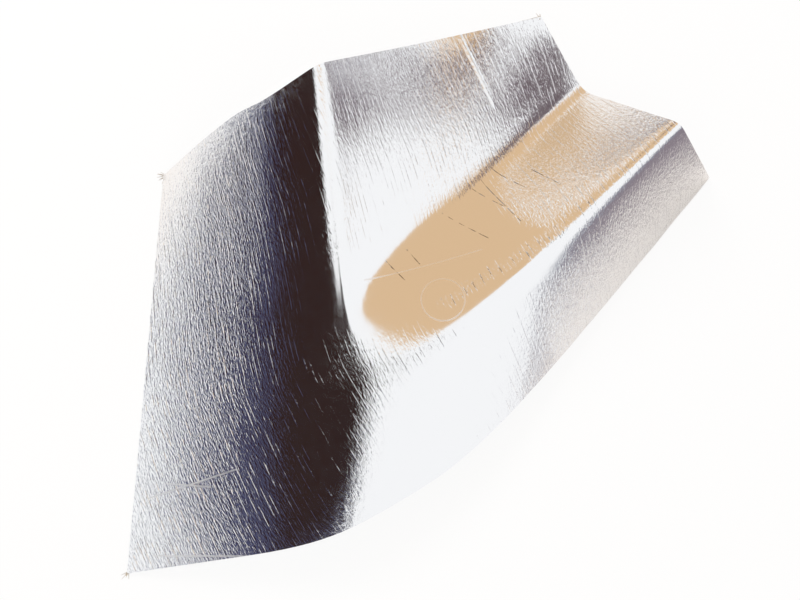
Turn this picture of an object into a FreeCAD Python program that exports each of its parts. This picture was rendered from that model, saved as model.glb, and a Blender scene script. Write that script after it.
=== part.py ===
import FreeCAD, Part
import os
from FreeCAD import Vector

# Heat shield: one sheet of foil-faced cloth, cut as a trapezoid and folded by hand.
# It lies as it comes to rest: Z is up, X runs to the right, Y to the back, and the
# origin is on the floor under the middle of the sheet. All sizes are in millimetres.

SIZES = {
    # gauge of the laminate, foil and cloth together
    "sheet_thickness": 1.2,
    # left edge, which lies on the floor
    "left_front_x": -126,
    "left_front_y": -117,
    "left_back_x": -119,
    "left_back_y": 54,
    # roof fold: sharp at the back, opening to a wide bend at the front
    "fold_back_x": -48,
    "fold_back_y": 76,
    "fold_back_height": 71,
    "fold_middle_x": -38,
    "fold_middle_y": -12,
    "fold_middle_height": 50,
    "fold_front_x": -42,
    "fold_front_y": -103,
    "fold_front_height": 28,
    "fold_left_reach": 40,
    "fold_right_reach": 6,
    "fold_front_reach": 42,
    # groove: the inside corner between the wall and the channel floor
    "groove_start_x": -27,
    "groove_start_y": -1,
    "groove_start_height": 42,
    "groove_end_x": 70,
    "groove_end_y": 95,
    "groove_end_height": 5,
    "groove_reach": 12,
    # bead: the raised rib between the channel and the skirt
    "bead_start_x": 4,
    "bead_start_y": -26,
    "bead_start_height": 42,
    "bead_end_x": 96,
    "bead_end_y": 61,
    "bead_end_height": 55,
    "bead_reach": 9,
    # back corner of the wall, and how far the wall's back edge bows and sags
    "back_corner_x": 47,
    "back_corner_y": 119,
    "back_corner_height": 29,
    "back_bow": 6,
    "back_sag": 14,
    # front edge of the skirt, from the roof fold to the right corner
    "skirt_middle_x": 19,
    "skirt_middle_y": -68,
    "skirt_middle_height": 20,
    "skirt_low_x": 71,
    "skirt_low_y": -11,
    "skirt_low_height": 4,
    "right_corner_x": 128,
    "right_corner_y": 56,
    # how far the left panel's back edge bows out
    "left_bow": 6,
}

HALF = 0.5
BEND_DEGREE = 3
# place of the groove in a column of poles, counted from the front edge
GROOVE_POLE = 7
# where the lines of the bead and the groove cross the left panel, as shares of its depth
BEAD_SHARE = 0.35
GROOVE_SHARE = 0.58
# where the wall's back edge has its two inner poles, as shares of its length
NEAR_SHARE = 0.3
MIDDLE_SHARE = 0.65

document = FreeCAD.newDocument("heat_shield")
sizes = document.addObject("Spreadsheet::Sheet", "sizes")
for row, (alias, value) in enumerate(SIZES.items(), start=1):
    sizes.set(f"A{row}", alias.replace("_", " "))
    sizes.set(f"B{row}", str(value))
    sizes.setAlias(f"B{row}", alias)
document.recompute()


def spot(name, height=None):
    """A named point of the sheet, at its own height or at the one given."""
    if height is None:
        height = sizes.get(name + "_height")
    return Vector(sizes.get(name + "_x"), sizes.get(name + "_y"), height)


def between(start, end, share):
    return start + (end - start) * share


def step_toward(start, end, reach):
    """A point at the given reach from start, never past the middle of the way to end."""
    way = end - start
    return start + way * min(reach / way.Length, HALF)


def column(front, bead, groove, back):
    """Poles from the front edge to the back edge, three close together at each bend."""
    bead_reach = sizes.get("bead_reach")
    groove_reach = sizes.get("groove_reach")
    return [
        front,
        between(front, bead, HALF),
        step_toward(bead, front, bead_reach),
        bead,
        step_toward(bead, groove, bead_reach),
        between(bead, groove, HALF),
        step_toward(groove, bead, groove_reach),
        groove,
        step_toward(groove, back, groove_reach),
        between(groove, back, HALF),
        back,
    ]


def left_edge_column():
    front = spot("left_front", sizes.get("sheet_thickness"))
    back = spot("left_back", sizes.get("sheet_thickness"))
    return column(front, between(front, back, BEAD_SHARE), between(front, back, GROOVE_SHARE), back)


def fold_column():
    front = spot("fold_front")
    middle = spot("fold_middle")
    return column(front, between(front, middle, BEAD_SHARE / GROOVE_SHARE), middle, spot("fold_back"))


def back_edge_pole(share):
    bow = Vector(0, sizes.get("back_bow"), -sizes.get("back_sag"))
    return between(spot("fold_back"), spot("back_corner"), share) + bow


def channel_column(front, share, back):
    bead = between(spot("bead_start"), spot("bead_end"), share)
    groove = between(spot("groove_start"), spot("groove_end"), share)
    return column(front, bead, groove, back)


def right_edge_column():
    corner = spot("right_corner", sizes.get("sheet_thickness"))
    return channel_column(corner, 1, spot("back_corner"))


def left_panel_column(left, fold):
    """Middle of the left panel, bowed out over its back half."""
    poles = []
    for index, (start, end) in enumerate(zip(left, fold)):
        back_half = max(0, 2 * index / (len(left) - 1) - 1)
        poles.append(between(start, end, HALF) + Vector(0, sizes.get("left_bow") * back_half, 0))
    return poles


def fold_side_column(fold, beside, back_reach):
    """Poles beside the roof fold, from the reach at the back to a wide one at the front."""
    poles = []
    for index, (start, end) in enumerate(zip(fold, beside)):
        share = min(1, index / GROOVE_POLE)
        front_reach = sizes.get("fold_front_reach")
        reach = front_reach + (back_reach - front_reach) * share
        poles.append(step_toward(start, end, reach))
    return poles


def clamped_knots(pole_count):
    """Even knots and their multiplicities for a clamped curve of BEND_DEGREE."""
    knot_count = pole_count - BEND_DEGREE + 1
    ends = BEND_DEGREE + 1
    return [float(knot) for knot in range(knot_count)], [ends] + [1] * (knot_count - 2) + [ends]


def formed_face():
    """Upper face of the sheet, from the left edge to the right edge."""
    left = left_edge_column()
    fold = fold_column()
    near = channel_column(spot("skirt_middle"), 0, back_edge_pole(NEAR_SHARE))
    middle = channel_column(spot("skirt_low"), HALF, back_edge_pole(MIDDLE_SHARE))
    net = [
        left,
        left_panel_column(left, fold),
        fold_side_column(fold, left, sizes.get("fold_left_reach")),
        fold,
        fold_side_column(fold, near, sizes.get("fold_right_reach")),
        near,
        middle,
        right_edge_column(),
    ]
    across_knots, across_counts = clamped_knots(len(net))
    along_knots, along_counts = clamped_knots(len(left))
    surface = Part.BSplineSurface()
    surface.buildFromPolesMultsKnots(
        net, across_counts, along_counts, across_knots, along_knots, False, False, BEND_DEGREE, BEND_DEGREE
    )
    return surface.toShape()


face = document.addObject("Part::Feature", "formed_face")
face.Shape = formed_face()

shield = document.addObject("Part::Offset", "heat_shield_sheet")
shield.Label = "heat_shield_sheet"
shield.Source = face
shield.setExpression("Value", "-sizes.sheet_thickness")
shield.Fill = True
document.recompute()

# the sheet is set down with its lowest edge on the floor and its middle over the origin
extent = shield.Shape.BoundBox
shield.Placement = FreeCAD.Placement(
    Vector(-extent.Center.x, -extent.Center.y, -extent.ZMin), FreeCAD.Rotation()
)

for item in document.Objects:
    if "Invalid" in item.State or "Error" in item.State:
        raise RuntimeError(f"{item.Label} did not recompute: {item.State}")
for item in (face, shield):
    if item.Shape.isNull() or not item.Shape.isValid():
        raise RuntimeError(f"{item.Label} has no valid shape")

os.makedirs("parts", exist_ok=True)
shield.Shape.exportStep(f"parts/{shield.Label}.step")
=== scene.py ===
import math
import random

import bmesh
import bpy
import numpy as np
from bpy.props import FloatProperty, FloatVectorProperty, IntProperty, PointerProperty
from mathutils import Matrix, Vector, noise
from mathutils.bvhtree import BVHTree


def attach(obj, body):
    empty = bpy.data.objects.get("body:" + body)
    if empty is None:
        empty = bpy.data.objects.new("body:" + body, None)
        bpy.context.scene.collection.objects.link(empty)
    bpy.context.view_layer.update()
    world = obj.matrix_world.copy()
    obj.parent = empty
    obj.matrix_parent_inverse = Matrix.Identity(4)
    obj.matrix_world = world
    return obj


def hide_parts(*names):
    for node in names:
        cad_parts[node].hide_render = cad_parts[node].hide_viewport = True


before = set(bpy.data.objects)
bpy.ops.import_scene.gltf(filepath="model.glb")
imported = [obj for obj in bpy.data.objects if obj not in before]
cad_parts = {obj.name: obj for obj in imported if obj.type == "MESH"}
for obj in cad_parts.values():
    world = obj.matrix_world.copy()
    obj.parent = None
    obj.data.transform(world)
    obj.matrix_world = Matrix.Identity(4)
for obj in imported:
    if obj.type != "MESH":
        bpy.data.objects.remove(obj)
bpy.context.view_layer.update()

bl_info = {
    "name": "Folded heat shield",
    "version": (1, 0, 0),
    "blender": (4, 5, 0),
    "location": "View3D > Sidebar > Heat shield",
    "description": "Dresses a folded sheet of foil-faced cloth and sets up its studio",
    "category": "Object",
}

SHEET_NODE = "heat_shield_sheet"
BODY = "root"

MM = 0.001
HALF = 0.5
BLANK_MAP = "blank"
BLANK_SPAN = 0.4
STANDING = "standing"
MERGE_DISTANCE = 0.01 * MM
SHARP_TURN = math.radians(40)
ABOVE = 1.0
DOWN = Vector((0, 0, -1))

# share of the blank's taper that lies at its left side
LEFT_TAPER_SHARE = 0.52

# noise over the blank in the mesh: size of its spots across and along the threads, in
# millimetres, and its seed
DENTS = (17, 30, 3.0)
THREAD_WANDER = (60, 120, 0.0)
# how far the threads wander, as a share of their pitch
WANDER_SHARE = 0.7
THREAD_SHARPNESS = 2

# noise over the blank in the materials: size of its grains across and along the threads, in
# millimetres, its detail and its seed
TICK_BREAKS = (2.1, 12.0, 1, 160)
CRINKLES = (0.8, 2.4, 2, 0)
FINE_GRIT = (0.4, 0.9, 1, 80)
PATCHES = (3.0, 3.0, 2, 120)
CLOTH_FUZZ = (0.5, 0.5, 2, 10)
NOISE_ROUGHNESS = 0.55
NOISE_LOW = 0.25
NOISE_HIGH = 0.75
# noise values over which thread lines and cracks go from broken off to full
TICKS_BROKEN = -0.2
TICKS_FULL = 0.4
CRACKS_BROKEN = -0.3
CRACKS_FULL = 0.3
# heights in the materials, in millimetres
TICK_HEIGHT = 0.036
CRINKLE_HEIGHT = 0.026
GRIT_HEIGHT = 0.008
CRACK_DEPTH = 0.03
WEAVE_HEIGHT = 0.12
FUZZ_HEIGHT = 0.05
CLOTH_SHADE_HEIGHT = 0.15
CLOTH_SHADE_SHARE = 0.55
FOIL_ROUGHNESS = 0.13
SCUFF_ROUGHNESS = 0.4
PATCH_ROUGHNESS = 0.03
CRACK_COLOUR = "#3A2A1C"
# size of the spots on the cut edge and on the fibres, and their darkest and palest colours
EDGE_GRAIN = 0.9 * MM
EDGE_COLOURS = ("#4B463F", "#F1EEE8")
FIBRE_GRAIN = 1.5 * MM
FIBRE_COLOURS = ("#5A4632", "#D8C6A8")
# half the width of a thread line, in millimetres
TICK_HALF_WIDTH = 0.25
# part of a mark's half width where it is full
MARK_CORE_SHARE = 0.3

# where threads and crinkles stand less or more than elsewhere: lines in plan, how far from a line
# the change is full and where it ends, in millimetres, and the change
STANDING_CHANGES = (
    # channel floor, pressed smooth
    ((-29, -9), (24, 26), 13, 19, -1.0),
    ((2, -13), (40, 9), 8, 12, -1.0),
    # strip beside the bead, left standing
    ((1, -11), (47, 17), 2.5, 4, 2.2),
    # far end of the channel floor
    ((44, 38), (84, 76), 10, 26, 2.5),
    # skirt toward the right corner
    ((62, -12), (126, 56), 10, 26, 2.5),
    # foil drawn tight over the roof fold
    ((-57, 66), (-54, -9), 8, 22, -0.35),
    ((-54, -9), (-46, -97), 8, 22, -0.35),
    # loose left side
    ((-116, -110), (-108, 40), 20, 46, 0.9),
)

# sharp wrinkles in plan: ends in millimetres, height and half width in millimetres
WRINKLES = (
    ((9, 107), (25, 79), 0.25, 0.8),
    ((-106, -78), (-67, -58), 0.14, 1.3),
    ((-117, 8), (-94, 18), 0.10, 1.3),
)
# cracks in the foil, along the threads, ends in plan in millimetres
CRACKS = (
    ((23, 51), (37, 39)),
    ((15, 40), (27, 31)),
    ((18, 46), (33, 23)),
    ((40, 49), (50, 39)),
    ((2, 28), (20, 16)),
    ((-22, 6), (-14, -2)),
    ((-13, 11), (-8, 5)),
)
CRACK_HALF_WIDTH = 0.2
# scuffs, where the bright foil is rubbed dull
SCUFFS = (
    ((-30, -3), (17, 11)),
    ((-119, -88), (-81, -76)),
    ((-111, -82), (-92, -83)),
    ((-116, -111), (-75, -110)),
)
SCUFF_HALF_WIDTH = 0.5
RING_CENTRE = (1, -10)
RING_RADIUS = 8.6

# frayed fibres: how far they spread, as shares of their way out, their lengths as shares of the
# full length, how far in and how deep their roots lie, and their radii at the root and the tip
FIBRE_SEED = 7
FIBRE_SPREAD = 0.8
FIBRE_RISE_SHARE = 0.2
FIBRE_LENGTH_SHARES = (0.5, 1.0)
FIBRE_ROOT_INSET = (0.6 * MM, 2.0 * MM)
FIBRE_ROOT_DEPTH = 0.5 * MM
FIBRE_ROOT_RADIUS = 0.16 * MM
FIBRE_TIP_RADIUS = 0.05 * MM
FIBRE_SIDES = 6
LEFT_FRONT_FIBRES = 7
LEFT_BACK_FIBRES = 8
RIGHT_BACK_FIBRES = 3


def linear(hex_colour):
    """Scene-linear colour of an sRGB hex value."""
    channels = [int(hex_colour[i:i + 2], 16) / 255 for i in (1, 3, 5)]
    return [c / 12.92 if c <= 0.04045 else ((c + 0.055) / 1.055) ** 2.4 for c in channels]


def opaque(hex_colour):
    return (*linear(hex_colour), 1.0)


def add_node(tree, kind, inputs=None, **settings):
    """Adds a node; an input is a socket to link from, or a value."""
    node = tree.nodes.new(kind)
    for name, value in settings.items():
        setattr(node, name, value)
    for name, value in (inputs or {}).items():
        if isinstance(value, bpy.types.NodeSocket):
            tree.links.new(value, node.inputs[name])
        else:
            node.inputs[name].default_value = value
    return node


def new_material(name):
    """A node material with its output and nothing else."""
    material = bpy.data.materials.new(name)
    material.use_nodes = True
    tree = material.node_tree
    tree.nodes.clear()
    return material, tree, add_node(tree, "ShaderNodeOutputMaterial")


def smooth_share(value, low, high):
    """0 at low, 1 at high, with an eased run between."""
    share = np.clip((value - low) / (high - low), 0, 1)
    return share * share * (3 - 2 * share)


def distance_to_line(plan, ends):
    """Distance of plan points, in millimetres, from a straight stretch."""
    start, end = (np.array(p, float) for p in ends)
    run = end - start
    share = np.clip(((plan - start) @ run) / (run @ run), 0, 1)
    return np.linalg.norm(plan - start - share[..., None] * run, axis=-1)


class HeatShieldSizes(bpy.types.PropertyGroup):
    """Sizes and colours of the sheet that a user would change."""

    columns: IntProperty(
        name="Columns", description="Mesh columns across the sheet", default=560, min=40
    )
    rows: IntProperty(
        name="Rows", description="Mesh rows from the front edge to the back edge", default=80, min=20
    )
    thread_pitch: FloatProperty(
        name="Thread pitch", description="Spacing of the cloth's threads",
        default=2.09 * MM, unit="LENGTH",
    )
    thread_relief: FloatProperty(
        name="Thread relief", description="How far a thread stands out under the foil",
        default=0.012 * MM, unit="LENGTH",
    )
    dent_depth: FloatProperty(
        name="Dent depth", description="Depth of the soft dents left by hand folding",
        default=0.07 * MM, unit="LENGTH",
    )
    fibre_length: FloatProperty(
        name="Fibre length", description="Length of the frayed fibres at the corners",
        default=4.5 * MM, unit="LENGTH",
    )
    foil_colour: FloatVectorProperty(
        name="Foil", description="Colour of the aluminium foil",
        subtype="COLOR", size=3, default=linear("#F4F5F7"),
    )
    cloth_colour: FloatVectorProperty(
        name="Cloth", description="Colour of the woven glass cloth",
        subtype="COLOR", size=3, default=linear("#CFC8BA"),
    )


def upper_side():
    """The upper side of the CAD sheet alone, parted from the rest at its sharp edges."""
    form = bmesh.new()
    form.from_mesh(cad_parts[SHEET_NODE].data)
    bmesh.ops.remove_doubles(form, verts=form.verts, dist=MERGE_DISTANCE)
    form.normal_update()
    first = max(form.faces, key=lambda face: face.normal.z)
    reached = {first}
    waiting = [first]
    while waiting:
        face = waiting.pop()
        for edge in face.edges:
            if len(edge.link_faces) != 2 or edge.calc_face_angle() > SHARP_TURN:
                continue
            for other in edge.link_faces:
                if other not in reached:
                    reached.add(other)
                    waiting.append(other)
    rest = [face for face in form.faces if face not in reached]
    bmesh.ops.delete(form, geom=rest, context="FACES")
    return form


def outline_of(form):
    """Points round the edge of the form, in order."""
    edges = {edge for edge in form.edges if edge.is_boundary}
    edge = edges.pop()
    first, vertex = edge.verts
    points = [first.co.copy()]
    while vertex != first:
        points.append(vertex.co.copy())
        edge = next(e for e in vertex.link_edges if e in edges)
        edges.discard(edge)
        vertex = edge.other_vert(vertex)
    return points


def corner_indices(points):
    """Where the outline turns sharply."""
    count = len(points)
    corners = []
    for i in range(count):
        before = points[i] - points[i - 1]
        after = points[(i + 1) % count] - points[i]
        if before.angle(after) > SHARP_TURN:
            corners.append(i)
    if len(corners) != 4:
        raise RuntimeError(f"the sheet has {len(corners)} corners, and not 4")
    return corners


def named_corners(points):
    """Indices of the sheet's four corners."""
    corners = corner_indices(points)
    left_front = min(corners, key=lambda i: points[i].y)
    right_front = max(corners, key=lambda i: points[i].x)
    right_back = max(corners, key=lambda i: points[i].y)
    left_back = next(i for i in corners if i not in (left_front, right_front, right_back))
    return left_front, right_front, left_back, right_back


def even_edge(points, start, end, count):
    """The outline's shorter way from start to end, as count + 1 evenly spaced points."""
    ways = []
    for step in (1, -1):
        way = [start]
        while way[-1] != end:
            way.append((way[-1] + step) % len(points))
        ways.append(np.array([points[i] for i in way]))
    lengths = [np.linalg.norm(np.diff(way, axis=0), axis=1) for way in ways]
    way, steps = min(zip(ways, lengths), key=lambda pair: pair[1].sum())
    along = np.concatenate([[0], np.cumsum(steps)])
    places = np.linspace(0, along[-1], count + 1)
    return np.stack([np.interp(places, along, way[:, axis]) for axis in range(3)], axis=1)


def formed_points(columns, rows):
    """A grid stretched between the sheet's four edges and dropped onto the CAD sheet."""
    form = upper_side()
    points = outline_of(form)
    left_front, right_front, left_back, right_back = named_corners(points)
    front = even_edge(points, left_front, right_front, columns)[:, None]
    back = even_edge(points, left_back, right_back, columns)[:, None]
    left = even_edge(points, left_front, left_back, rows)[None]
    right = even_edge(points, right_front, right_back, rows)[None]
    s = np.linspace(0, 1, columns + 1)[:, None, None]
    t = np.linspace(0, 1, rows + 1)[None, :, None]
    front_twist = (1 - s) * front[0] + s * front[-1]
    back_twist = (1 - s) * back[0] + s * back[-1]
    grid = (1 - t) * front + t * back + (1 - s) * left + s * right
    grid = grid - (1 - t) * front_twist - t * back_twist
    tree = BVHTree.FromBMesh(form)
    for i in range(1, columns):
        for j in range(1, rows):
            place = Vector(grid[i, j])
            hit = tree.ray_cast(Vector((place.x, place.y, ABOVE)), DOWN)[0]
            grid[i, j] = hit or tree.find_nearest(place)[0]
    form.free()
    return grid


def sheet_gauge():
    """Thickness of the CAD sheet, measured through a face that looks up."""
    form = bmesh.new()
    form.from_mesh(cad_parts[SHEET_NODE].data)
    tree = BVHTree.FromBMesh(form)
    flattest = max(form.faces, key=lambda face: face.normal.z * face.calc_area())
    inward = -flattest.normal
    start = flattest.calc_center_median() + inward * MERGE_DISTANCE
    gauge = (tree.ray_cast(start, inward)[0] - start).length + MERGE_DISTANCE
    form.free()
    return gauge


def blank_coordinates(grid):
    """Each point's place on the flat blank: across the threads, and along them."""
    across_steps = np.linalg.norm(np.diff(grid, axis=0), axis=2)
    along_steps = np.linalg.norm(np.diff(grid, axis=1), axis=2)
    across = np.concatenate([np.zeros((1, grid.shape[1])), np.cumsum(across_steps, axis=0)])
    along = np.concatenate([np.zeros((grid.shape[0], 1)), np.cumsum(along_steps, axis=1)], axis=1)
    across += (across[-1, 0] - across[-1]) * LEFT_TAPER_SHARE
    return across, along


def soft_noise(across, along, across_size, along_size, seed):
    """Smooth noise over the blank, about -1 to 1, with spots of the given size in millimetres."""
    sampled = np.empty(across.shape)
    for index, a in np.ndenumerate(across):
        spot = (a / (across_size * MM), along[index] / (along_size * MM), seed)
        sampled[index] = noise.noise(spot)
    return sampled


def standing_share(plan):
    """How far threads and crinkles stand: 0 where pressed smooth, 1 elsewhere, more where loose."""
    share = np.ones(plan.shape[:-1])
    for start, end, inner, outer, change in STANDING_CHANGES:
        share += change * (1 - smooth_share(distance_to_line(plan, (start, end)), inner, outer))
    return np.maximum(share, 0)


def foil_relief(sizes, plan, across, along, standing):
    """How far each point stands off the smooth sheet."""
    swell = 0.5 + 0.5 * np.cos(2 * math.pi * across / sizes.thread_pitch)
    threads = swell ** THREAD_SHARPNESS * sizes.thread_relief
    dents = soft_noise(across, along, *DENTS) * sizes.dent_depth
    relief = (threads + dents) * standing
    for start, end, height, half_width in WRINKLES:
        distance = distance_to_line(plan, (start, end))
        relief += height * MM * np.exp(-((distance / half_width) ** 2))
    return relief


def foil_sheet_mesh(sizes):
    """The sheet's upper side, with threads and dents, a map of the blank and the standing share."""
    columns, rows = sizes.columns, sizes.rows
    grid = formed_points(columns, rows)
    across, along = blank_coordinates(grid)
    wander = soft_noise(across, along, *THREAD_WANDER) * sizes.thread_pitch * WANDER_SHARE
    across = across + wander
    plan = grid[..., :2] / MM
    standing = standing_share(plan)
    relief = foil_relief(sizes, plan, across, along, standing)

    form = bmesh.new()
    blank = form.loops.layers.uv.new(BLANK_MAP)
    share = form.verts.layers.float.new(STANDING)
    bmesh.ops.create_grid(form, x_segments=columns, y_segments=rows, size=HALF)
    place = {
        vertex: (round((vertex.co.x + HALF) * columns), round((vertex.co.y + HALF) * rows))
        for vertex in form.verts
    }
    for vertex, index in place.items():
        vertex.co = grid[index]
    form.normal_update()
    shifts = {v: v.normal * relief[index] for v, index in place.items()}
    for vertex, shift in shifts.items():
        vertex.co += shift
    for vertex, index in place.items():
        vertex[share] = standing[index]
    for edge in form.edges:
        edge.smooth = not edge.is_boundary
    for face in form.faces:
        face.smooth = True
        for loop in face.loops:
            index = place[loop.vert]
            loop[blank].uv = (across[index] / BLANK_SPAN, along[index] / BLANK_SPAN)
    mesh = bpy.data.meshes.new("foil_sheet")
    form.to_mesh(mesh)
    form.free()
    return mesh


def blank_millimetres(tree):
    """Place on the flat blank in millimetres."""
    blank = add_node(tree, "ShaderNodeUVMap", uv_map=BLANK_MAP)
    span = BLANK_SPAN / MM
    return add_node(
        tree, "ShaderNodeMapping", {"Vector": blank.outputs["UV"], "Scale": (span, span, 1)}
    ).outputs["Vector"]


def plan_millimetres(tree):
    """Place in plan in millimetres."""
    place = add_node(tree, "ShaderNodeTexCoord").outputs["Object"]
    scale = (1 / MM, 1 / MM, 0)
    return add_node(tree, "ShaderNodeMapping", {"Vector": place, "Scale": scale}).outputs["Vector"]


def blank_noise(tree, blank, across_size, along_size, detail, seed):
    """Noise over the blank with grains of the given size in millimetres, about -1 to 1."""
    grains = add_node(
        tree, "ShaderNodeMapping",
        {"Vector": blank, "Location": (seed, seed, 0), "Scale": (1 / across_size, 1 / along_size, 1)},
    )
    texture = add_node(
        tree, "ShaderNodeTexNoise",
        {
            "Vector": grains.outputs["Vector"],
            "Scale": 1.0,
            "Detail": detail,
            "Roughness": NOISE_ROUGHNESS,
        },
    )
    centred = add_node(
        tree, "ShaderNodeMapRange",
        {
            "Value": texture.outputs["Fac"],
            "From Min": NOISE_LOW,
            "From Max": NOISE_HIGH,
            "To Min": -1,
            "To Max": 1,
        },
    )
    return centred.outputs["Result"]


def line_mark(tree, plan, ends, half_width):
    """1 on a straight mark in plan, fading to 0 at its half width."""
    start, end = (Vector((*point, 0)) for point in ends)
    run = end - start
    offset = add_node(tree, "ShaderNodeVectorMath", {0: plan, 1: start}, operation="SUBTRACT")
    share = add_node(
        tree, "ShaderNodeVectorMath",
        {0: offset.outputs["Vector"], 1: run / run.length_squared}, operation="DOT_PRODUCT",
    )
    held = add_node(tree, "ShaderNodeClamp", {"Value": share.outputs["Value"]})
    foot = add_node(
        tree, "ShaderNodeVectorMath", {0: run, "Scale": held.outputs["Result"]}, operation="SCALE"
    )
    gap = add_node(
        tree, "ShaderNodeVectorMath",
        {0: offset.outputs["Vector"], 1: foot.outputs["Vector"]}, operation="DISTANCE",
    )
    return fading_mark(tree, gap.outputs["Value"], half_width)


def ring_mark(tree, plan, half_width):
    """1 on the ring pressed into the channel floor."""
    reach = add_node(
        tree, "ShaderNodeVectorMath", {0: plan, 1: (*RING_CENTRE, 0)}, operation="DISTANCE"
    )
    off = add_node(
        tree, "ShaderNodeMath", {0: reach.outputs["Value"], 1: RING_RADIUS}, operation="SUBTRACT"
    )
    gap = add_node(tree, "ShaderNodeMath", {0: off.outputs["Value"]}, operation="ABSOLUTE")
    return fading_mark(tree, gap.outputs["Value"], half_width)


def fading_mark(tree, distance, half_width):
    """1 in the core of a mark, fading to 0 at its half width."""
    return add_node(
        tree, "ShaderNodeMapRange",
        {
            "Value": distance,
            "From Min": half_width * MARK_CORE_SHARE,
            "From Max": half_width,
            "To Min": 1,
            "To Max": 0,
        },
    ).outputs["Result"]


def thread_ticks(tree, blank, pitch):
    """1 on the lines over the threads, which come and go."""
    across = add_node(tree, "ShaderNodeSeparateXYZ", {"Vector": blank}).outputs["X"]
    gap = add_node(tree, "ShaderNodeMath", {0: across, 1: pitch / 2}, operation="PINGPONG")
    line = fading_mark(tree, gap.outputs["Value"], TICK_HALF_WIDTH)
    breaks = blank_noise(tree, blank, *TICK_BREAKS)
    shown = add_node(
        tree, "ShaderNodeMapRange",
        {"Value": breaks, "From Min": TICKS_BROKEN, "From Max": TICKS_FULL},
    )
    return add_node(
        tree, "ShaderNodeMath", {0: line, 1: shown.outputs["Result"]}, operation="MULTIPLY"
    ).outputs["Value"]


def strongest(tree, marks):
    """The strongest of several marks at each point."""
    combined = marks[0]
    for mark in marks[1:]:
        combined = add_node(
            tree, "ShaderNodeMath", {0: combined, 1: mark}, operation="MAXIMUM"
        ).outputs["Value"]
    return combined


def weighted_sum(tree, terms):
    """Sum of sockets times numbers."""
    total = 0.0
    for socket, weight in terms:
        total = add_node(
            tree, "ShaderNodeMath", {0: socket, 1: weight, 2: total}, operation="MULTIPLY_ADD"
        ).outputs["Value"]
    return total


def aluminium_foil(sizes):
    """Bright rolled aluminium foil bonded over cloth: a mirror broken up by threads and crinkles,
    with cracks along the threads and a few dull scuffs."""
    material, tree, output = new_material("aluminium_foil")
    blank = blank_millimetres(tree)
    plan = plan_millimetres(tree)
    standing = add_node(tree, "ShaderNodeAttribute", attribute_name=STANDING).outputs["Fac"]

    crinkles = weighted_sum(tree, (
        (thread_ticks(tree, blank, sizes.thread_pitch / MM), TICK_HEIGHT),
        (blank_noise(tree, blank, *CRINKLES), CRINKLE_HEIGHT),
        (blank_noise(tree, blank, *FINE_GRIT), GRIT_HEIGHT),
    ))
    cracks = strongest(tree, [line_mark(tree, plan, ends, CRACK_HALF_WIDTH) for ends in CRACKS])
    scuffs = [line_mark(tree, plan, ends, SCUFF_HALF_WIDTH) for ends in SCUFFS]
    scuffs = strongest(tree, scuffs + [ring_mark(tree, plan, SCUFF_HALF_WIDTH)])
    patchy = blank_noise(tree, blank, *PATCHES)
    kept = add_node(
        tree, "ShaderNodeMapRange",
        {"Value": patchy, "From Min": CRACKS_BROKEN, "From Max": CRACKS_FULL},
    )
    cracks = add_node(
        tree, "ShaderNodeMath", {0: cracks, 1: kept.outputs["Result"]}, operation="MULTIPLY"
    ).outputs["Value"]

    raised = add_node(tree, "ShaderNodeMath", {0: crinkles, 1: standing}, operation="MULTIPLY")
    height = weighted_sum(tree, ((raised.outputs["Value"], 1.0), (cracks, -CRACK_DEPTH)))
    bump = add_node(tree, "ShaderNodeBump", {"Height": height, "Strength": 1.0, "Distance": MM})
    colour = add_node(
        tree, "ShaderNodeMix",
        {"Factor": cracks, "A": (*sizes.foil_colour, 1), "B": opaque(CRACK_COLOUR)}, data_type="RGBA",
    )
    rubbed = add_node(
        tree, "ShaderNodeMapRange",
        {"Value": scuffs, "To Min": FOIL_ROUGHNESS, "To Max": SCUFF_ROUGHNESS},
    )
    roughness = weighted_sum(tree, ((rubbed.outputs["Result"], 1.0), (patchy, PATCH_ROUGHNESS)))
    foil = add_node(
        tree, "ShaderNodeBsdfPrincipled",
        {
            "Base Color": colour.outputs["Result"],
            "Metallic": 1.0,
            "Roughness": roughness,
            "Normal": bump.outputs["Normal"],
        },
    )
    tree.links.new(foil.outputs["BSDF"], output.inputs["Surface"])
    return material


def woven_glass_cloth(sizes):
    """Plain woven glass cloth, the back of the laminate: dull off-white threads over and under."""
    material, tree, output = new_material("woven_glass_cloth")
    blank = blank_millimetres(tree)
    parts = add_node(tree, "ShaderNodeSeparateXYZ", {"Vector": blank})
    turns = 2 * math.pi * MM / sizes.thread_pitch
    waves = []
    for axis in ("X", "Y"):
        angle = add_node(
            tree, "ShaderNodeMath", {0: parts.outputs[axis], 1: turns}, operation="MULTIPLY"
        )
        wave = add_node(tree, "ShaderNodeMath", {0: angle.outputs["Value"]}, operation="COSINE")
        waves.append(wave.outputs["Value"])
    over_under = add_node(tree, "ShaderNodeMath", dict(enumerate(waves)), operation="MULTIPLY")
    fuzz = blank_noise(tree, blank, *CLOTH_FUZZ)
    height = weighted_sum(tree, ((over_under.outputs["Value"], WEAVE_HEIGHT), (fuzz, FUZZ_HEIGHT)))
    bump = add_node(tree, "ShaderNodeBump", {"Height": height, "Strength": 1.0, "Distance": MM})
    # painted shade: the low places of the weave take a darker copy of the cloth colour, and the high
    # places take the full colour
    shade = add_node(
        tree, "ShaderNodeMapRange",
        {"Value": height, "From Min": -CLOTH_SHADE_HEIGHT, "From Max": CLOTH_SHADE_HEIGHT},
    )
    shadow = [channel * CLOTH_SHADE_SHARE for channel in sizes.cloth_colour]
    colour = add_node(
        tree, "ShaderNodeMix",
        {"Factor": shade.outputs["Result"], "A": (*shadow, 1), "B": (*sizes.cloth_colour, 1)},
        data_type="RGBA",
    )
    cloth = add_node(
        tree, "ShaderNodeBsdfPrincipled",
        {"Base Color": colour.outputs["Result"], "Roughness": 0.85, "Normal": bump.outputs["Normal"]},
    )
    tree.links.new(cloth.outputs["BSDF"], output.inputs["Surface"])
    return material


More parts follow.
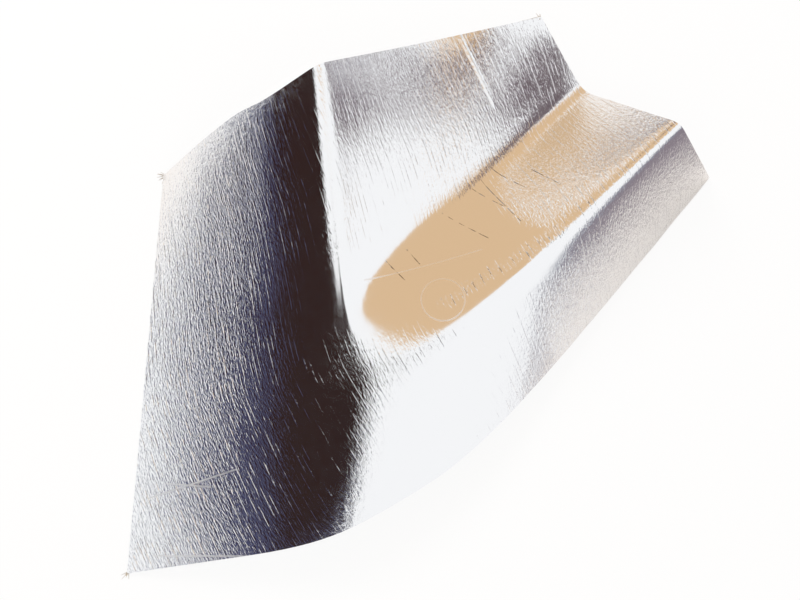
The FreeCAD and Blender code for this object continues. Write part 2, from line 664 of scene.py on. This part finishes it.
def cut_edge():
    """The sheared edge: cut thread ends, pale and dark in turn."""
    material, tree, output = new_material("cut_cloth_edge")
    place = add_node(tree, "ShaderNodeTexCoord").outputs["Object"]
    ends = add_node(
        tree, "ShaderNodeTexNoise", {"Vector": place, "Scale": 1 / EDGE_GRAIN, "Detail": 2.0}
    )
    dark, pale = (opaque(colour) for colour in EDGE_COLOURS)
    colour = add_node(
        tree, "ShaderNodeMix",
        {"Factor": ends.outputs["Fac"], "A": dark, "B": pale}, data_type="RGBA",
    )
    bump = add_node(
        tree, "ShaderNodeBump", {"Height": ends.outputs["Fac"], "Strength": 0.6, "Distance": 0.2 * MM}
    )
    edge = add_node(
        tree, "ShaderNodeBsdfPrincipled",
        {"Base Color": colour.outputs["Result"], "Roughness": 0.9, "Normal": bump.outputs["Normal"]},
    )
    tree.links.new(edge.outputs["BSDF"], output.inputs["Surface"])
    return material


def glass_fibre():
    """Loose glass fibres, tanned by the binder, with a faint gloss."""
    material, tree, output = new_material("frayed_glass_fibre")
    place = add_node(tree, "ShaderNodeTexCoord").outputs["Object"]
    tone = add_node(tree, "ShaderNodeTexNoise", {"Vector": place, "Scale": 1 / FIBRE_GRAIN})
    dark, pale = (opaque(colour) for colour in FIBRE_COLOURS)
    colour = add_node(
        tree, "ShaderNodeMix",
        {"Factor": tone.outputs["Fac"], "A": dark, "B": pale}, data_type="RGBA",
    )
    fibre = add_node(
        tree, "ShaderNodeBsdfPrincipled", {"Base Color": colour.outputs["Result"], "Roughness": 0.5}
    )
    tree.links.new(fibre.outputs["BSDF"], output.inputs["Surface"])
    return material


def add_piece(mesh, materials):
    """An object of the heat shield, riding on its one body."""
    piece = bpy.data.objects.new(mesh.name, mesh)
    bpy.context.scene.collection.objects.link(piece)
    for material in materials:
        mesh.materials.append(material)
    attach(piece, BODY)
    return piece


class HEATSHIELD_OT_sheet(bpy.types.Operator):
    """Build the folded foil sheet over the CAD sheet"""

    bl_idname = "heatshield.sheet"
    bl_label = "Foil sheet"

    def execute(self, context):
        sizes = context.scene.heat_shield
        mesh = foil_sheet_mesh(sizes)
        sheet = add_piece(mesh, (aluminium_foil(sizes), woven_glass_cloth(sizes), cut_edge()))
        wall = sheet.modifiers.new("gauge", "SOLIDIFY")
        wall.thickness = sheet_gauge()
        wall.offset = -1.0
        wall.material_offset = 1
        wall.material_offset_rim = 2
        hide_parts(SHEET_NODE)
        return {"FINISHED"}


class HEATSHIELD_OT_fibres(bpy.types.Operator):
    """Add the frayed fibres at the cut corners"""

    bl_idname = "heatshield.fibres"
    bl_label = "Frayed fibres"

    def execute(self, context):
        sizes = context.scene.heat_shield
        form = upper_side()
        points = outline_of(form)
        left_front, _, left_back, right_back = named_corners(points)
        middle = sum(points, Vector()) / len(points)
        form.free()
        draw = random.Random(FIBRE_SEED)
        tufts = bmesh.new()
        counts = {
            left_front: LEFT_FRONT_FIBRES, left_back: LEFT_BACK_FIBRES, right_back: RIGHT_BACK_FIBRES
        }
        for index, count in counts.items():
            corner = points[index]
            outward = (corner - middle).normalized()
            outward.z = 0
            for _ in range(count):
                spread = Vector([draw.uniform(-FIBRE_SPREAD, FIBRE_SPREAD) for _ in range(3)])
                spread.z *= FIBRE_RISE_SHARE
                way = (outward + spread).normalized()
                length = sizes.fibre_length * draw.uniform(*FIBRE_LENGTH_SHARES)
                inset = outward * draw.uniform(*FIBRE_ROOT_INSET)
                root = corner - inset - Vector((0, 0, FIBRE_ROOT_DEPTH))
                turn = way.to_track_quat("Z", "Y").to_matrix().to_4x4()
                turn.translation = root + way * length / 2
                bmesh.ops.create_cone(
                    tufts, cap_ends=True, segments=FIBRE_SIDES, depth=length,
                    radius1=FIBRE_ROOT_RADIUS, radius2=FIBRE_TIP_RADIUS, matrix=turn,
                )
        for face in tufts.faces:
            face.smooth = True
        mesh = bpy.data.meshes.new("frayed_fibres")
        tufts.to_mesh(mesh)
        tufts.free()
        add_piece(mesh, (glass_fibre(),))
        return {"FINISHED"}


# the studio, as colours seen in the foil: azimuth from +X and elevation of a zone, how far from
# there it is full and where it has faded out, all in degrees, and its colour
STUDIO_WHITE = "#FFFFFF"
STUDIO_ZONES = (
    (36, -2, 15, 26, "#AAA5AA"),
    (106, 1, 13, 18, "#E2C098"),
    (88, 50, 37, 41, "#E2C098"),
    (45, 56, 17, 20, "#E2C098"),
    (0, -90, 82, 90, "#8E8F9B"),
)
# screens standing by the sheet, seen only in the foil: a screen's distance from the middle, the way
# it lies from there, the colours of its parts from the foot up, and stations along it with the
# heights where the parts begin and end, all in metres
DARK_SCREEN = (
    0.20, 210, ("#535981", "#2E1916"),
    (
        (0.24, 0.030, 0.055, 0.360),
        (0.12, 0.050, 0.084, 0.300),
        (0.06, 0.060, 0.102, 0.260),
        (0.00, 0.061, 0.105, 0.330),
        (-0.08, 0.078, 0.120, 0.580),
        (-0.16, 0.180, 0.227, 1.000),
        (-0.30, 0.385, 0.437, 1.700),
        (-0.75, 0.930, 1.000, 3.000),
    ),
)
GREY_SCREEN = (
    0.145, 40, ("#7A6D74",),
    (
        (0.008, 0.022, 0.082),
        (-0.005, 0.022, 0.090),
        (-0.014, 0.030, 0.104),
        (-0.022, 0.086, 0.119),
        (-0.032, 0.096, 0.128),
        (-0.050, 0.094, 0.128),
    ),
)
CAMERA_PLACE = (-29.3 * MM, -72.5 * MM, 390.2 * MM)
CAMERA_TILT = (math.radians(10.11), math.radians(-2.19), 0)
CAMERA_LENS = 40.5
CAMERA_NEAR = 10 * MM
FLOOR_HALF_WIDTH = 0.25
FLOOR_WHITE_SHARE = 0.9
FLOOR_PAPER = "#F0F0F0"
# painted shade on the paper, seen only in the foil: its colour, and where along X it begins and is
# full
FLOOR_SHADE = "#86808C"
FLOOR_SHADE_START = 0.138
FLOOR_SHADE_END = 0.160
LAMP_PLACE = (-0.45, 0.55, 0.80)
LAMP_WIDTH = 0.4
LAMP_POWER = 4.0


def white_floor():
    """Matt white paper: seen directly it is white and keeps a faint shadow, and in the foil
    it is dark at the right."""
    material, tree, output = new_material("white_paper")
    # painted shade: for glossy rays only, the paper's colour turns darker to the right of
    # FLOOR_SHADE_START, so the foil mirrors a darker floor there
    place = add_node(tree, "ShaderNodeTexCoord").outputs["Object"]
    right = add_node(tree, "ShaderNodeSeparateXYZ", {"Vector": place}).outputs["X"]
    shade = add_node(
        tree, "ShaderNodeMapRange",
        {"Value": right, "From Min": FLOOR_SHADE_START, "From Max": FLOOR_SHADE_END},
    ).outputs["Result"]
    rays = add_node(tree, "ShaderNodeLightPath")
    mirrored = add_node(
        tree, "ShaderNodeMath", {0: shade, 1: rays.outputs["Is Glossy Ray"]}, operation="MULTIPLY"
    )
    colour = add_node(
        tree, "ShaderNodeMix",
        {
            "Factor": mirrored.outputs["Value"],
            "A": opaque(FLOOR_PAPER),
            "B": opaque(FLOOR_SHADE),
        },
        data_type="RGBA",
    )
    paper = add_node(tree, "ShaderNodeBsdfDiffuse", {"Color": colour.outputs["Result"]})
    glow = add_node(tree, "ShaderNodeEmission", {"Color": opaque(STUDIO_WHITE), "Strength": 1.0})
    share = add_node(
        tree, "ShaderNodeMath", {0: rays.outputs["Is Camera Ray"], 1: FLOOR_WHITE_SHARE},
        operation="MULTIPLY",
    )
    mixed = add_node(
        tree, "ShaderNodeMixShader",
        {0: share.outputs["Value"], 1: paper.outputs["BSDF"], 2: glow.outputs["Emission"]},
    )
    tree.links.new(mixed.outputs["Shader"], output.inputs["Surface"])
    return material


def felt(colour):
    """Matt felt, which gives the foil something darker than the room to mirror."""
    material, tree, output = new_material("felt")
    pile = add_node(tree, "ShaderNodeBsdfDiffuse", {"Color": opaque(colour)})
    tree.links.new(pile.outputs["BSDF"], output.inputs["Surface"])
    return material


def direction(azimuth, elevation):
    """Unit vector of an azimuth and an elevation in degrees."""
    turn, rise = math.radians(azimuth), math.radians(elevation)
    return (math.cos(rise) * math.cos(turn), math.cos(rise) * math.sin(turn), math.sin(rise))


def add_screen(name, screen):
    """A screen as one upright strip that only the foil sees."""
    distance, azimuth, colours, stations = screen
    out = Vector(direction(azimuth, 0)) * distance
    along = Vector(direction(azimuth - 90, 0))
    last = len(stations) - 1
    form = bmesh.new()
    bmesh.ops.create_grid(form, x_segments=last, y_segments=len(colours), size=HALF)
    for face in form.faces:
        face.material_index = int((face.calc_center_median().y + HALF) * len(colours))
    for vertex in form.verts:
        place, *heights = stations[round((vertex.co.x + HALF) * last)]
        height = heights[round((vertex.co.y + HALF) * len(colours))]
        vertex.co = out + along * place + Vector((0, 0, height))
    mesh = bpy.data.meshes.new(name)
    form.to_mesh(mesh)
    form.free()
    for colour in colours:
        mesh.materials.append(felt(colour))
    strip = bpy.data.objects.new(name, mesh)
    strip.visible_camera = False
    strip.visible_diffuse = False
    strip.visible_shadow = False
    bpy.context.scene.collection.objects.link(strip)
    return strip


def zone_share(tree, look, azimuth, elevation, full, faded):
    """How far a view direction lies in a zone of the studio."""
    facing = add_node(
        tree, "ShaderNodeVectorMath", {0: look, 1: direction(azimuth, elevation)},
        operation="DOT_PRODUCT",
    )
    return add_node(
        tree, "ShaderNodeMapRange",
        {
            "Value": facing.outputs["Value"],
            "From Min": math.cos(math.radians(faded)),
            "From Max": math.cos(math.radians(full)),
        },
        interpolation_type="SMOOTHSTEP",
    ).outputs["Result"]


def studio_world():
    """A white room with warm and grey parts, which the foil mirrors."""
    world = bpy.data.worlds.new("studio")
    world.use_nodes = True
    tree = world.node_tree
    tree.nodes.clear()
    look = add_node(tree, "ShaderNodeTexCoord").outputs["Generated"]
    colour = opaque(STUDIO_WHITE)
    for *zone, zone_colour in STUDIO_ZONES:
        share = zone_share(tree, look, *zone)
        colour = add_node(
            tree, "ShaderNodeMix",
            {"Factor": share, "A": colour, "B": opaque(zone_colour)}, data_type="RGBA",
        ).outputs["Result"]
    rays = add_node(tree, "ShaderNodeLightPath")
    seen = add_node(
        tree, "ShaderNodeMix",
        {"Factor": rays.outputs["Is Camera Ray"], "A": colour, "B": opaque(STUDIO_WHITE)},
        data_type="RGBA",
    )
    background = add_node(
        tree, "ShaderNodeBackground", {"Color": seen.outputs["Result"], "Strength": 1.0}
    )
    output = add_node(tree, "ShaderNodeOutputWorld")
    tree.links.new(background.outputs["Background"], output.inputs["Surface"])
    return world


class HEATSHIELD_OT_stage(bpy.types.Operator):
    """Set up the room, the floor, the screens, the lamp and the camera"""

    bl_idname = "heatshield.stage"
    bl_label = "Studio"

    def execute(self, context):
        scene = context.scene
        scene.view_settings.view_transform = "Standard"
        scene.world = studio_world()

        paper = bmesh.new()
        bmesh.ops.create_grid(paper, x_segments=1, y_segments=1, size=FLOOR_HALF_WIDTH)
        mesh = bpy.data.meshes.new("floor")
        paper.to_mesh(mesh)
        paper.free()
        floor = bpy.data.objects.new("floor", mesh)
        mesh.materials.append(white_floor())
        scene.collection.objects.link(floor)

        dark = add_screen("dark_screen", DARK_SCREEN)
        grey = add_screen("grey_screen", GREY_SCREEN)

        lamp = bpy.data.lights.new("soft_lamp", "AREA")
        lamp.energy = LAMP_POWER
        lamp.size = LAMP_WIDTH
        lamp_object = bpy.data.objects.new("soft_lamp", lamp)
        lamp_object.location = LAMP_PLACE
        lamp_object.rotation_euler = (-Vector(LAMP_PLACE)).to_track_quat("-Z", "Y").to_euler()
        lamp_object.visible_glossy = False
        scene.collection.objects.link(lamp_object)

        camera = bpy.data.cameras.new("camera")
        camera.lens = CAMERA_LENS
        camera.clip_start = CAMERA_NEAR
        camera_object = bpy.data.objects.new("camera", camera)
        camera_object.location = CAMERA_PLACE
        camera_object.rotation_euler = CAMERA_TILT
        scene.collection.objects.link(camera_object)
        scene.camera = camera_object
        return {"FINISHED"}


class HEATSHIELD_PT_panel(bpy.types.Panel):
    """Sizes and steps of the heat shield"""

    bl_idname = "HEATSHIELD_PT_panel"
    bl_label = "Heat shield"
    bl_space_type = "VIEW_3D"
    bl_region_type = "UI"
    bl_category = "Heat shield"

    def draw(self, context):
        sizes = context.scene.heat_shield
        for name in HeatShieldSizes.__annotations__:
            self.layout.prop(sizes, name)
        for step in STEPS:
            self.layout.operator(step.bl_idname)


STEPS = (HEATSHIELD_OT_sheet, HEATSHIELD_OT_fibres, HEATSHIELD_OT_stage)
CLASSES = (HeatShieldSizes, *STEPS, HEATSHIELD_PT_panel)


def register():
    for cls in CLASSES:
        bpy.utils.register_class(cls)
    bpy.types.Scene.heat_shield = PointerProperty(type=HeatShieldSizes)


def unregister():
    del bpy.types.Scene.heat_shield
    for cls in reversed(CLASSES):
        bpy.utils.unregister_class(cls)


def main():
    register()
    bpy.ops.heatshield.sheet()
    bpy.ops.heatshield.fibres()
    bpy.ops.heatshield.stage()


if __name__ == "__main__":
    main()
